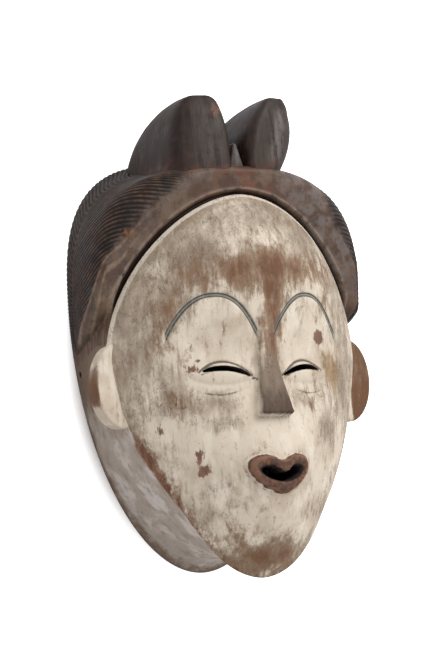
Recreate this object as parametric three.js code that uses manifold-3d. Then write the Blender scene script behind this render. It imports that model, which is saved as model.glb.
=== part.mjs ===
// Punu mask, carved from one block of light wood: a white face in a raised oval plate, a combed coiffure with
// a two-lobed crest, an ear on each side, pierced eyes and mouth, and a hollow behind, open at a flat rim.
// The mask lies on its rim. +X is to the right of someone looking at the face, +Y points from the chin to
// the crest, +Z points out of the face, and the rim lies in Z = 0. Sizes are in millimetres.
import * as THREE from "three";
import { mergeVertices } from "three/addons/utils/BufferGeometryUtils.js";
import Module from "manifold-3d";

// The face plate's edge is an egg: the line where it is widest, its half width, its reach above and below
// that line, and how square it is above, below and at its lowest tip.
const FACE = {
  line: -16,
  halfWidth: 97,
  above: 108.5,
  below: 150,
  squareAbove: 1.8,
  squareBelow: 1.5,
  squareTip: 1.76,
};

// Two more eggs, the hair's widest line and the rim that the mask lies on. Each gives how far it lies outside
// the plate's edge at the side, the crown and the chin, and how far its widest line lies above the plate's.
const SHOULDER_MARGIN = { line: 41, side: 7, crown: 20.5, chin: -1 };
const SHOULDER = eggAround(SHOULDER_MARGIN, { squareAbove: 2.9, squareBelow: 2, squareTip: 2 });
const RIM_MARGIN = { line: 41, side: -5.5, crown: 35.5, chin: -7 };
const RIM = eggAround(RIM_MARGIN, { squareAbove: 2.9, squareBelow: 1.95, squareTip: 1.95 });

// Heights over the rim: the plate's edge at the sides, the hairline and the chin, and the middle of the face.
const EDGE_SIDE_Z = 62;
const EDGE_HAIRLINE_Z = 88;
const EDGE_CHIN_Z = 82;
const FACE_MIDDLE_Z = 104;
const FACE_FALL = 2.1;
const EDGE_CHAMFER = 2.5;

// The wood left between the outside and the hollow.
const WALL = 11;

// Soft swellings and hollows of the face, each with its middle, its spread across and along, and its height.
const FOREHEAD = { x: 0, y: 52, width: 58, length: 36, height: 9 };
const MUZZLE = { x: 0, y: -94, width: 32, length: 26, height: 13 };
const CHIN = { x: 0, y: -130, width: 27, length: 24, height: 9 };
const CHEEK = { x: 52, y: -62, width: 25, length: 30, height: 3.5 };
const EYE_SOCKET = { x: 33, y: -18, width: 23, length: 17, height: -5 };

// The neck under the chin and the jaw's walls: how far the section bends in or out, high up and low down.
const JAW_HIGH_BEND = 3;
const JAW_LOW_BEND = 5;
const CHIN_HIGH_BEND = -8;
const CHIN_LOW_BEND = -20;
const JAW_HIGH_DROP = 15;
const JAW_LOW_Z = 26;

// The hair: a groove and a smooth band round the face, and combed locks that drift down to a seam.
const HAIR_END_TURN = 15;
const GROOVE_WIDTH = 5;
const GROOVE_DEPTH = 4.5;
const BAND_WIDTH = 19;
const BAND_RISE = 2;
const SHOULDER_SHARE = 0.84;
const LOCKS_PER_SIDE = 17;
const LOCK_DEPTH = 1.8;
const LOCK_DRIFT = 20;
const CROWN_HALF_TURN = 6;

// The crest's two lobes, with a small wedge between their roots. A lobe widens by its flare at half height,
// and by its foot at the root.
const RIGHT_LOBE = { x: 21.5, lean: 16.5, halfWidth: 13, flare: 8, foot: 0 };
const LEFT_LOBE = { x: -25, lean: 2, halfWidth: 20, flare: 2, foot: 4 };
const LOBE_HEIGHT = 56;
const LOBE_DEPTH = 87;
const LOBE_APEX_BACK = 7;
const LOBE_FACE_TURN = 12;
const LOBE_SQUARENESS = 0.37;
const LOBE_SINK = 6;
const CREST_WEDGE = { halfWidth: 7, topHalfWidth: 2, height: 23, depth: 30, setBack: 2 };

// The ears, half ovals that stand out from the plate's edge, with their root sunk in it and a rounded edge.
const EAR = { y: -33, halfHeight: 29, width: 10.5, root: 8, lift: 4, thickness: 13, slope: 2, edge: 1 };

// The nose, a wedge with a flat front.
const NOSE = {
  top: 18,
  foot: -59,
  bridgeWidth: 8,
  footWidth: 23,
  bridgeHeight: 0.5,
  footHeight: 9,
  flare: 3,
};

// The eyes: lids with a slit through the wall, under an incised brow.
const EYE = { x: 31, y: -30, halfWidth: 23, halfHeight: 8, height: 3.5 };
const EYE_SLIT = { halfWidth: 16, height: 3, rise: 4 };
const BROW = { x: 36, foot: -5, halfSpan: 30, rise: 27, width: 4, depth: 1.4 };

// The mouth: heart-shaped lips round an opening through the wall.
const MOUTH_Y = -96;
const LIPS = { halfWidth: 22, above: 11, below: 17, notch: 6, height: 5 };
const MOUTH_OPENING = { halfWidth: 14.5, above: 5, below: 6, notch: 5 };

// A lacing hole through each side wall.
const LACING_HOLE = { diameter: 5, y: -20, height: 10 };

// How finely the block is faceted.
const FACE_SHARES = [0.12, 0.24, 0.36, 0.48, 0.6, 0.71, 0.81, 0.89, 0.945, 1];
const JAW_COLUMNS = 40;
const CROWN_COLUMNS = 4;
const HOLLOW_COLUMNS = 44;
const HOLLOW_CHECKS = [0.6, 0.7, 0.8, 0.9, 1];
const HOLLOW_CORNER = 0.95;
const LOBE_SIDES = 20;
const LOBE_LEVELS = [0.99, 0.94, 0.84, 0.7, 0.52, 0.32, 0.12, 0];
const LIP_POINTS = 32;
const LID_POINTS = 24;
const EAR_POINTS = 24;
const BORE_SIDES = 12;
const ARCH_POINTS = 9;
const BROW_SECTIONS = 17;
const PAD_SINK = 5;
const PAD_EDGE = 1.2;

const wasm = await Module();
wasm.setup();

const radians = THREE.MathUtils.degToRad;
const degrees = THREE.MathUtils.radToDeg;
const lerp = THREE.MathUtils.lerp;
const smooth = THREE.MathUtils.smoothstep;

// The egg that lies outside the plate's edge by a margin.
function eggAround({ line, side, crown, chin }, squares) {
  return {
    line: FACE.line + line,
    halfWidth: FACE.halfWidth + side,
    above: FACE.above + crown - line,
    below: FACE.below + chin + line,
    ...squares,
  };
}

// A turn about the face plate's centre is 0 at +X and 90 at +Y. This is how far above the level it points.
const elevation = (turn) => degrees(Math.asin(Math.sin(radians(turn))));

// How far an egg-shaped outline lies from the face plate's centre at a turn, found by halving.
function reach(egg, turn) {
  const [c, s] = [Math.cos(radians(turn)), Math.sin(radians(turn))];
  const squareBelow = lerp(egg.squareBelow, egg.squareTip, smooth(-elevation(turn), 60, 89));
  let [near, far] = [0, 2 * (egg.above + egg.below)];
  for (let step = 0; step < 40; step += 1) {
    const middle = (near + far) / 2;
    const y = FACE.line + middle * s - egg.line;
    const square = y >= 0 ? egg.squareAbove : squareBelow;
    const across = Math.abs((middle * c) / egg.halfWidth) ** square;
    const along = Math.abs(y / (y >= 0 ? egg.above : egg.below)) ** square;
    if (across + along < 1) near = middle;
    else far = middle;
  }
  return near;
}

// The point at a turn and a distance from the face plate's centre.
function polar(turn, distance, z) {
  const angle = radians(turn);
  return new THREE.Vector3(distance * Math.cos(angle), FACE.line + distance * Math.sin(angle), z);
}

function edgeHeight(turn) {
  const s = Math.sin(radians(turn));
  const rise = s >= 0 ? EDGE_HAIRLINE_Z - EDGE_SIDE_Z : EDGE_CHIN_Z - EDGE_SIDE_Z;
  return EDGE_SIDE_Z + rise * s * s;
}

function swelling(place, x, y) {
  const [across, along] = [(x - place.x) / place.width, (y - place.y) / place.length];
  return place.height * Math.exp(-0.5 * (across ** 2 + along ** 2));
}

// How much of the hair or of the neck under the chin a turn belongs to, each from 0 to 1.
const hairShare = (turn) => smooth(elevation(turn), HAIR_END_TURN - 4, HAIR_END_TURN + 4);
const chinShare = (turn) => smooth(-elevation(turn), 35, 85);

// Height of the smooth face at a point of the plate, before the features are carved.
function faceHeight(x, y) {
  const turn = degrees(Math.atan2(y - FACE.line, x));
  const share = Math.min(1, Math.hypot(x, y - FACE.line) / reach(FACE, turn));
  const edge = edgeHeight(turn);
  const dome = edge + (FACE_MIDDLE_Z - edge) * (1 - share ** FACE_FALL);
  const centred = swelling(FOREHEAD, x, y) + swelling(MUZZLE, x, y) + swelling(CHIN, x, y);
  const paired = swelling(CHEEK, Math.abs(x), y) + swelling(EYE_SOCKET, Math.abs(x), y);
  return dome + (centred + paired) * (1 - share ** 6) + EDGE_CHAMFER * (1 - smooth(share, 0.945, 1));
}

// The hair's side: along the band to its end at BAND_SHARE, over the shoulder, and down the wall to the rim.
const BAND_SHARE = 0.3;
const SHOULDER_AT = 0.6;

function hairSection(turn, along) {
  const [edge, shoulder, rim] = [reach(FACE, turn), reach(SHOULDER, turn), reach(RIM, turn)];
  const bandEnd = Math.min(edge + BAND_WIDTH, lerp(edge, shoulder, 0.75));
  const top = edgeHeight(turn) + BAND_RISE;
  const shoulderZ = edgeHeight(turn) * SHOULDER_SHARE;
  if (along <= BAND_SHARE) {
    const share = along / BAND_SHARE;
    return [lerp(edge, bandEnd, share), lerp(edgeHeight(turn), top, share)];
  }
  const curve = along <= SHOULDER_AT
    ? new THREE.QuadraticBezierCurve(
      new THREE.Vector2(bandEnd, top),
      new THREE.Vector2(shoulder, top),
      new THREE.Vector2(shoulder, shoulderZ),
    )
    : new THREE.QuadraticBezierCurve(
      new THREE.Vector2(shoulder, shoulderZ),
      new THREE.Vector2(shoulder, shoulderZ * 0.6),
      new THREE.Vector2(rim, 0),
    );
  const share = along <= SHOULDER_AT
    ? (along - BAND_SHARE) / (SHOULDER_AT - BAND_SHARE)
    : (along - SHOULDER_AT) / (1 - SHOULDER_AT);
  return curve.getPoint(share).toArray();
}

// The bare side below the hair: temple, jaw, and the hollowed neck under the chin.
function jawSection(turn, along) {
  const [edge, rim, top] = [reach(FACE, turn), reach(RIM, turn), edgeHeight(turn)];
  const chin = chinShare(turn);
  const curve = new THREE.CubicBezierCurve(
    new THREE.Vector2(edge, top),
    new THREE.Vector2(edge + lerp(JAW_HIGH_BEND, CHIN_HIGH_BEND, chin), top - JAW_HIGH_DROP),
    new THREE.Vector2(rim + lerp(JAW_LOW_BEND, CHIN_LOW_BEND, chin), JAW_LOW_Z),
    new THREE.Vector2(rim, 0),
  );
  return curve.getPoint(along).toArray();
}

// The block's side without its carving, from the plate's edge at 0 to the rim at 1.
function sideSection(turn, along) {
  const hair = hairShare(turn);
  const [hairReach, hairZ] = hair > 0 ? hairSection(turn, along) : [0, 0];
  const [jawReach, jawZ] = hair < 1 ? jawSection(turn, along) : [0, 0];
  return [lerp(jawReach, hairReach, hair), lerp(jawZ, hairZ, hair)];
}

// The courses of the side, each with how far along it lies, how far the locks have drifted there, how much of
// a lock's depth shows, and how deep the groove round the face is.
const GROOVE_SHARE = (BAND_SHARE * GROOVE_WIDTH) / BAND_WIDTH;
const COURSES = [
  { along: 0.008, drift: 0, lock: 0, groove: 1 },
  { along: GROOVE_SHARE * 0.9, drift: 0, lock: 0, groove: 1 },
  { along: GROOVE_SHARE, drift: 0, lock: 0, groove: 0 },
  { along: BAND_SHARE, drift: 0, lock: 0, groove: 0 },
  { along: 0.34, drift: 0.04, lock: 1, groove: 0 },
  { along: 0.44, drift: 0.2, lock: 1, groove: 0 },
  { along: 0.53, drift: 0.4, lock: 1, groove: 0 },
  { along: 0.62, drift: 0.6, lock: 1, groove: 0 },
  { along: 0.76, drift: 0.82, lock: 1, groove: 0 },
  { along: 0.88, drift: 1, lock: 1, groove: 0 },
  { along: 1, drift: 0.8, lock: 0.3, groove: 0 },
];

// The base turns of the columns on the right half, from the chin up: jaw, locks and crown.
function rightTurns() {
  const jaw = Array.from({ length: JAW_COLUMNS / 2 }, (_, i) => (
    lerp(-90, HAIR_END_TURN, i / (JAW_COLUMNS / 2))
  ));
  const lockTop = 90 - CROWN_HALF_TURN;
  const locks = Array.from({ length: LOCKS_PER_SIDE * 2 }, (_, i) => (
    lerp(HAIR_END_TURN, lockTop, i / (LOCKS_PER_SIDE * 2))
  ));
  const crown = Array.from({ length: CROWN_COLUMNS / 2 }, (_, i) => (
    lerp(lockTop, 90, i / (CROWN_COLUMNS / 2))
  ));
  return [...jaw, ...locks, ...crown];
}

function allTurns() {
  const right = rightTurns();
  const left = right.slice(1).reverse().map((turn) => 180 - turn);
  return [...right, 90, ...left];
}

// A lock's ridge stands out and the furrow beside it lies back, in turn.
function lockRelief(turn, index) {
  const up = elevation(turn);
  if (up < HAIR_END_TURN || up > 90 - CROWN_HALF_TURN) return 0;
  return (index % 2 === 0 ? -0.5 : 0.5) * LOCK_DEPTH;
}

function coursePoint(course, turn, index) {
  const up = elevation(turn);
  const side = Math.cos(radians(turn)) >= 0 ? 1 : -1;
  const drift = LOCK_DRIFT * course.drift * smooth(up, -30, 45) * (1 - smooth(up, 82, 90));
  const drifted = turn - side * drift;
  const hair = hairShare(turn);
  const [hairReach, hairZ] = hairSection(drifted, course.along);
  const [jawReach, jawZ] = jawSection(drifted, course.along);
  const dig = course.groove * GROOVE_DEPTH * hair;
  const relief = course.lock * lockRelief(turn, index);
  const outward = course.along < 0.45 ? 0.3 : 1;
  const distance = lerp(jawReach, hairReach, hair) + relief * outward;
  const z = lerp(jawZ, hairZ, hair) - dig + relief * (1 - outward);
  return polar(drifted, distance, course.along === 1 ? 0 : z);
}

// A closed body from rings that all turn the same way, between a first and a last point. A ring may have as
// many points as the one before it, or twice as many.
function ringBody(first, rings, last) {
  const points = [first, ...rings.flat(), last];
  const starts = rings.map((_, r) => 1 + rings.slice(0, r).reduce((sum, ring) => sum + ring.length, 0));
  const faces = [];
  rings[0].forEach((_, i) => faces.push(0, 1 + i, 1 + ((i + 1) % rings[0].length)));
  for (let r = 1; r < rings.length; r += 1) {
    const [inner, outer] = [rings[r - 1].length, rings[r].length];
    const step = outer / inner;
    for (let i = 0; i < inner; i += 1) {
      const [a, b] = [starts[r - 1] + i, starts[r - 1] + ((i + 1) % inner)];
      const c = (k) => starts[r] + ((i * step + k) % outer);
      faces.push(a, c(0), c(1), a, c(1), b);
      if (step === 2) faces.push(b, c(1), c(2));
    }
  }
  const end = starts.at(-1);
  const count = rings.at(-1).length;
  for (let i = 0; i < count; i += 1) faces.push(points.length - 1, end + ((i + 1) % count), end + i);
  const geometry = new THREE.BufferGeometry().setFromPoints(points);
  geometry.setIndex(faces);
  return geometry;
}

function solid(geometry) {
  geometry.deleteAttribute("normal");
  geometry.deleteAttribute("uv");
  const merged = mergeVertices(geometry, 1e-4);
  return new wasm.Manifold(new wasm.Mesh({
    numProp: 3,
    vertProperties: new Float32Array(merged.attributes.position.array),
    triVerts: new Uint32Array(merged.index.array),
  }));
}

// The block: the plate's dome, then the side, closed flat at the rim.
function block() {
  const turns = allTurns();
  const faceRings = FACE_SHARES.map((share) => (
    turns.filter((_, i) => i % 2 === 0).map((turn) => {
      const flat = polar(turn, share * reach(FACE, turn), 0);
      return flat.setZ(share === 1 ? edgeHeight(turn) : faceHeight(flat.x, flat.y));
    })
  ));
  const sideRings = COURSES.map((course) => turns.map((turn, i) => coursePoint(course, turn, i)));
  const middle = new THREE.Vector3(0, FACE.line, faceHeight(0, FACE.line));
  return solid(ringBody(middle, [...faceRings, ...sideRings], new THREE.Vector3(0, FACE.line, 0)));
}

// The hollow behind: straight up from the rim, then rounded in under the face.
function hollow() {
  const turns = Array.from({ length: HOLLOW_COLUMNS }, (_, i) => (360 * i) / HOLLOW_COLUMNS);
  const foot = (turn) => {
    const lower = HOLLOW_CHECKS.map((along) => sideSection(turn, along)[0]);
    return Math.min(...lower) - WALL;
  };
  const corner = (turn) => HOLLOW_CORNER * Math.min(reach(FACE, turn), foot(turn));
  const under = (share, cover) => turns.map((turn) => {
    const flat = polar(turn, share * corner(turn), 0);
    return flat.setZ(faceHeight(flat.x, flat.y) - cover);
  });
  const corners = under(1, WALL * 1.5);
  const wall = (share, inward) => turns.map((turn, i) => (
    polar(turn, lerp(foot(turn), corner(turn), inward), corners[i].z * share)
  ));
  const rings = [under(0.22, WALL), under(0.45, WALL), under(0.65, WALL), under(0.85, WALL * 1.1), corners,
    wall(0.75, 0.35), wall(0.35, 0), turns.map((turn) => polar(turn, foot(turn), -WALL))];
  const top = new THREE.Vector3(0, FACE.line, faceHeight(0, FACE.line) - WALL);
  return solid(ringBody(top, rings, new THREE.Vector3(0, FACE.line, -WALL)));
}

// The crest stands on the far edge of the hair's band.
const crestRoot = () => FACE.line + FACE.above + BAND_WIDTH - LOBE_SINK;

// One lobe of the crest: boxy level sections that lean outward and draw in to a rounded top near the front.
function lobe({ x, lean, halfWidth, flare, foot }) {
  const side = Math.sign(x);
  const root = crestRoot();
  const frontZ = EDGE_HAIRLINE_Z;
  const section = (height) => {
    const left = Math.sqrt(1 - height * height);
    const spread = flare * Math.sin(Math.PI * height) + foot * (1 - height) ** 5;
    const half = (halfWidth + spread) * left ** 0.5;
    const front = frontZ - LOBE_APEX_BACK * (1 - left);
    const back = lerp(frontZ - LOBE_APEX_BACK, frontZ - LOBE_DEPTH, left);
    return Array.from({ length: LOBE_SIDES }, (_, i) => {
      const angle = -(2 * Math.PI * i) / LOBE_SIDES;
      const [c, s] = [Math.cos(angle), Math.sin(angle)];
      const across = Math.sign(c) * Math.abs(c) ** LOBE_SQUARENESS * half;
      const z = (front + back) / 2 + ((front - back) / 2) * Math.sign(s) * Math.abs(s) ** LOBE_SQUARENESS;
      const turned = z - Math.max(0, s) * across * side * Math.tan(radians(LOBE_FACE_TURN));
      return new THREE.Vector3(x + lean * height + across, root + LOBE_HEIGHT * height, turned);
    });
  };
  const rings = LOBE_LEVELS.map(section);
  const peak = new THREE.Vector3(x + lean, root + LOBE_HEIGHT, frontZ - LOBE_APEX_BACK);
  return solid(ringBody(peak, rings, new THREE.Vector3(x, root, frontZ - LOBE_DEPTH / 2)));
}

// The small wedge that stands between the lobes' roots.
function crestWedge() {
  const { halfWidth, topHalfWidth, height, depth, setBack } = CREST_WEDGE;
  const root = crestRoot();
  const outline = new THREE.Shape([
    new THREE.Vector2(-halfWidth, root),
    new THREE.Vector2(halfWidth, root),
    new THREE.Vector2(topHalfWidth, root + height),
    new THREE.Vector2(-topHalfWidth, root + height),
  ]);
  const wedge = new THREE.ExtrudeGeometry(outline, { depth, bevelEnabled: false });
  return solid(wedge.translate(0, 0, EDGE_HAIRLINE_Z - setBack - depth));
}

// A pad that lies on the face: from its middle out to its outline, raised by a profile and sunk at its edge.
function pad(centre, outline, profile, shares, columns) {
  const spot = (share, angle) => {
    const [dx, dy] = outline(angle);
    const [x, y] = [centre.x + share * dx, centre.y + share * dy];
    return new THREE.Vector3(x, y, faceHeight(x, y) + profile(share));
  };
  const angles = Array.from({ length: columns }, (_, i) => (2 * Math.PI * i) / columns);
  const rings = shares.map((share) => angles.map((angle) => spot(share, angle)));
  const foot = spot(0, 0);
  foot.z = Math.min(...rings.at(-1).map((point) => point.z)) - PAD_SINK;
  const sunk = angles.map((angle) => spot(1, angle).setZ(foot.z));
  return solid(ringBody(spot(0, 0), [...rings, sunk], foot));
}

// A straight cutter through the face from a flat outline.
function cutter(points) {
  const shape = new THREE.Shape(points.map(([x, y]) => new THREE.Vector2(x, y)));
  const depth = FACE_MIDDLE_Z;
  const bar = new THREE.ExtrudeGeometry(shape, { depth, bevelEnabled: false });
  return solid(bar.translate(0, 0, EDGE_SIDE_Z / 2));
}

// The heart outline of the mouth at an angle: a rounded foot and a notch in the middle of the top.
function heart({ halfWidth, above, below, notch }, angle) {
  const [c, s] = [Math.cos(angle), Math.sin(angle)];
  const dip = notch * Math.exp(-((c / 0.35) ** 2));
  return s >= 0
    ? [halfWidth * c, above * s ** 0.7 - dip * s]
    : [halfWidth * c, below * s * (1 - 0.25 * c * c)];
}

function mouth(sum) {
  const centre = new THREE.Vector2(0, MOUTH_Y);
  const profile = (share) => LIPS.height * (1 - smooth(share, 0.72, 1.05)) - PAD_EDGE * share ** 4;
  const lips = pad(centre, (angle) => heart(LIPS, angle), profile, [0.5, 0.78, 0.92, 1], LIP_POINTS);
  const opening = Array.from({ length: LIP_POINTS }, (_, i) => {
    const [x, y] = heart(MOUTH_OPENING, (2 * Math.PI * i) / LIP_POINTS);
    return [x, MOUTH_Y + y];
  });
  return sum.add(lips).subtract(cutter(opening));
}

// One eye: a lid like an almond, and a slit that rises in the middle.
function eye(sum, side) {
  const centre = new THREE.Vector2(side * EYE.x, EYE.y);
  const almond = (angle) => [
    EYE.halfWidth * Math.cos(angle),
    EYE.halfHeight * Math.sin(angle) * Math.abs(Math.sin(angle)) ** 0.3,
  ];
  const profile = (share) => EYE.height * (1 - share * share) - PAD_EDGE * share ** 4;
  const lid = pad(centre, almond, profile, [0.4, 0.75, 1], LID_POINTS);
  const steps = Array.from({ length: ARCH_POINTS }, (_, i) => lerp(-1, 1, i / (ARCH_POINTS - 1)));
  const arch = (share, lift) => [
    centre.x + share * EYE_SLIT.halfWidth,
    centre.y - EYE_SLIT.rise / 2 + EYE_SLIT.rise * (1 - share * share) + lift * (1 - Math.abs(share) ** 3),
  ];
  const slit = [
    ...steps.map((share) => arch(share, -EYE_SLIT.height / 2)),
    ...steps.slice(1, -1).reverse().map((share) => arch(share, EYE_SLIT.height / 2)),
  ];
  return sum.add(lid).subtract(cutter(slit));
}

// A closed body through sections of equal count, each going round the same way, with flat ends.
function loft(sections) {
  const count = sections[0].length;
  const points = sections.flat();
  const faces = [];
  for (let r = 0; r + 1 < sections.length; r += 1) {
    for (let i = 0; i < count; i += 1) {
      const [a, b] = [r * count + i, r * count + ((i + 1) % count)];
      faces.push(a, b, b + count, a, b + count, a + count);
    }
  }
  const end = (sections.length - 1) * count;
  for (let i = 1; i + 1 < count; i += 1) faces.push(0, i + 1, i, end, end + i, end + i + 1);
  const geometry = new THREE.BufferGeometry().setFromPoints(points);
  geometry.setIndex(faces);
  return geometry;
}

// A brow: a shallow groove along an arch, as a ribbon that is deep in the middle.
function brow(side) {
  const steps = Array.from({ length: BROW_SECTIONS }, (_, i) => lerp(1, -1, i / (BROW_SECTIONS - 1)));
  const line = (share, offset, lift) => {
    const x = side * BROW.x + (BROW.halfSpan + offset) * share;
    const y = BROW.foot + offset + BROW.rise * (1 - Math.abs(share) ** 2.3);
    return new THREE.Vector3(x, y, faceHeight(x, y) + lift);
  };
  const sections = steps.map((share) => {
    const half = (BROW.width / 2) * (1 - 0.6 * share ** 4);
    return [
      line(share, half, BROW.depth),
      line(share, 0, -BROW.depth),
      line(share, -half, BROW.depth),
      line(share, 0, 3 * BROW.depth),
    ];
  });
  return solid(loft(sections));
}

// The nose: level sections from the bridge to the foot, each a flat front on flared flanks.
function nose() {
  const section = (share) => {
    const y = lerp(NOSE.top, NOSE.foot, share);
    const half = lerp(NOSE.bridgeWidth, NOSE.footWidth, share ** 1.6) / 2;
    const height = lerp(NOSE.bridgeHeight, NOSE.footHeight, share ** 1.3);
    const flare = lerp(1, NOSE.flare, share);
    const base = faceHeight(0, y);
    return [
      new THREE.Vector3(-half - flare, y, base - PAD_SINK),
      new THREE.Vector3(half + flare, y, base - PAD_SINK),
      new THREE.Vector3(half, y, base + height),
      new THREE.Vector3(-half, y, base + height),
    ];
  };
  return solid(loft([0, 0.2, 0.4, 0.6, 0.8, 1].map(section)));
}

// An ear: a half oval slab that slopes outward from the plate's edge.
function ear(side) {
  const rootX = FACE.halfWidth - EAR.root;
  const spot = (share, angle, lift) => {
    const x = rootX + share * (EAR.root + EAR.width) * Math.cos(angle);
    const y = EAR.y + share * EAR.halfHeight * Math.sin(angle);
    const drop = (x - FACE.halfWidth) * Math.tan(radians(EAR.slope));
    const z = EDGE_SIDE_Z + EAR.lift - drop + lift;
    return new THREE.Vector3(side * x, y, z);
  };
  const angles = Array.from({ length: EAR_POINTS }, (_, i) => (side * 2 * Math.PI * i) / EAR_POINTS);
  const rings = [
    angles.map((angle) => spot(0.8, angle, -EAR.edge)),
    angles.map((angle) => spot(0.95, angle, 0)),
    angles.map((angle) => spot(1, angle, -2 * EAR.edge)),
    angles.map((angle) => spot(0.98, angle, -EAR.thickness)),
  ];
  return solid(ringBody(spot(0, 0, -EAR.edge), rings, spot(0, 0, -EAR.thickness)));
}

// A lacing hole, bored level through both side walls.
function lacingBore() {
  const radius = LACING_HOLE.diameter / 2;
  const bore = new THREE.CylinderGeometry(radius, radius, 3 * FACE.halfWidth, BORE_SIDES);
  return solid(bore.rotateZ(Math.PI / 2).translate(0, LACING_HOLE.y, LACING_HOLE.height));
}

let body = block().add(lobe(RIGHT_LOBE)).add(lobe(LEFT_LOBE)).add(crestWedge());
body = body.add(ear(1)).add(ear(-1)).add(nose());
body = body.subtract(hollow());
body = mouth(eye(eye(body, 1), -1));
body = body.subtract(brow(1)).subtract(brow(-1)).subtract(lacingBore());

function toGeometry(manifold) {
  const mesh = manifold.getMesh();
  const geometry = new THREE.BufferGeometry();
  geometry.setAttribute("position", new THREE.BufferAttribute(mesh.vertProperties, 3));
  geometry.setIndex(new THREE.BufferAttribute(mesh.triVerts, 1));
  geometry.computeVertexNormals();
  return geometry;
}

const wood = new THREE.MeshStandardMaterial({ color: 0xc9bfae, roughness: 0.8, metalness: 0 });
const mask = new THREE.Mesh(toGeometry(body), wood);
mask.name = "carved_mask";

// The origin is on the rim's plane, under the middle of the mask's length.
const bounds = new THREE.Box3().setFromObject(mask);
mask.position.y = -(bounds.min.y + bounds.max.y) / 2;
const group = new THREE.Group();
group.add(mask);
export default group;
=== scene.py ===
import bmesh
import bpy
import numpy as np
from mathutils import Matrix, Vector, noise


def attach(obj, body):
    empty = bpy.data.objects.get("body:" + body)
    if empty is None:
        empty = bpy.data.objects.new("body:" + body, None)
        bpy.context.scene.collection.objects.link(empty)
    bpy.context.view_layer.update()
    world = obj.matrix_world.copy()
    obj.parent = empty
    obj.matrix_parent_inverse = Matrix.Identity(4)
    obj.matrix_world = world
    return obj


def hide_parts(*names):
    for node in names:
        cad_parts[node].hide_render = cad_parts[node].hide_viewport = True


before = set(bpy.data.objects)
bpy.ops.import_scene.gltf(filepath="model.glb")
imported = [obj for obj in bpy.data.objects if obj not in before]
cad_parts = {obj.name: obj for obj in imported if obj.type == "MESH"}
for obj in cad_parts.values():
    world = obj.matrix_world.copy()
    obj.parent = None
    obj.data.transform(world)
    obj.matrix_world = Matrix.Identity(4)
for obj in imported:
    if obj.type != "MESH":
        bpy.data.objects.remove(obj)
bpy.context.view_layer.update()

# Camera
# It looks at the face from its left and a little from below, a long way off, as the photograph does.
CAMERA_YAW = 30
CAMERA_PITCH = 6
CAMERA_ROLL = -4
CAMERA_DISTANCE = 1800
CAMERA_TARGET = Vector((0, 2.25, 50))
CAMERA_SHIFT_RIGHT = -4.58
CAMERA_SHIFT_UP = 8.90
CAMERA_LENS = 146
FILM_WIDTH = 36
MM = 0.001

yaw, pitch, roll = np.radians([CAMERA_YAW, CAMERA_PITCH, CAMERA_ROLL])
towards_camera = Vector((-np.sin(yaw) * np.cos(pitch), -np.sin(pitch), np.cos(yaw) * np.cos(pitch)))
level_right = Vector((np.cos(yaw), 0, np.sin(yaw)))
level_up = towards_camera.cross(level_right)
camera_right = level_right * np.cos(roll) + level_up * np.sin(roll)
camera_up = level_up * np.cos(roll) - level_right * np.sin(roll)
stand = CAMERA_TARGET + towards_camera * CAMERA_DISTANCE
stand += camera_right * CAMERA_SHIFT_RIGHT + camera_up * CAMERA_SHIFT_UP

camera = bpy.data.objects.new("camera", bpy.data.cameras.new("camera"))
camera.data.lens = CAMERA_LENS
camera.data.sensor_width = FILM_WIDTH
axes = Matrix((camera_right, camera_up, towards_camera)).transposed()
camera.matrix_world = Matrix.Translation(stand * MM) @ axes.to_4x4()
bpy.context.scene.collection.objects.link(camera)
bpy.context.scene.camera = camera

# Carved block
# One block of light wood: the face plate's dome with its carved features, then the sides down to the flat
# rim. The carver shapes the plate first, cuts the groove round it, and combs the hair with a V gouge. The
# eggs give the widest line, the half width, the reach above and below it, and how square each part is.
FACE = {"line": -16, "half": 97, "above": 108.5, "below": 150, "square": (1.8, 1.5, 1.76)}
SHOULDER = {"line": 25, "half": 104, "above": 88, "below": 190, "square": (2.9, 2, 2)}
RIM = {"line": 25, "half": 91.5, "above": 103, "below": 184, "square": (2.9, 1.95, 1.95)}
EDGE_SIDE_Z = 62
EDGE_HAIRLINE_Z = 88
EDGE_CHIN_Z = 82
FACE_MIDDLE_Z = 104
FACE_FALL = 2.1
EDGE_CHAMFER = 2.5
MIDDLE_SHIFT = 2.25

# Soft swellings and hollows of the face: place, spread across and along, and height.
FOREHEAD = ((0, 52), (58, 36), 9)
MUZZLE = ((0, -94), (32, 26), 13)
CHIN = ((0, -130), (27, 24), 9)
CHEEK = ((52, -62), (25, 30), 3.5)
EYE_SOCKET = ((33, -18), (23, 17), -5)


def lerp(low, high, share):
    return low + (high - low) * share


def smooth(value, low, high):
    share = np.clip((value - low) / (high - low), 0, 1)
    return share * share * (3 - 2 * share)


def elevation(turn):
    return np.degrees(np.arcsin(np.sin(np.radians(turn))))


def reach(egg, turn):
    """How far the egg lies from the plate's centre at each turn, found by halving."""
    c, s = np.cos(np.radians(turn)), np.sin(np.radians(turn))
    above, below, tip = egg["square"]
    low_square = lerp(below, tip, smooth(-elevation(turn), 60, 89))
    inner, outer = np.zeros_like(c), np.full_like(c, 600.0)
    for _ in range(32):
        middle = (inner + outer) / 2
        y = FACE["line"] + middle * s - egg["line"]
        square = np.where(y >= 0, above, low_square)
        across = np.abs(middle * c / egg["half"]) ** square
        along = np.abs(y / np.where(y >= 0, egg["above"], egg["below"])) ** square
        inside = across + along < 1
        inner, outer = np.where(inside, middle, inner), np.where(inside, outer, middle)
    return inner


def edge_height(turn):
    s = np.sin(np.radians(turn))
    rise = np.where(s >= 0, EDGE_HAIRLINE_Z - EDGE_SIDE_Z, EDGE_CHIN_Z - EDGE_SIDE_Z)
    return EDGE_SIDE_Z + rise * s * s


def bulge(x, y, middle, spread, height):
    across, along = (x - middle[0]) / spread[0], (y - middle[1]) / spread[1]
    return height * np.exp(-0.5 * (across**2 + along**2))


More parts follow.
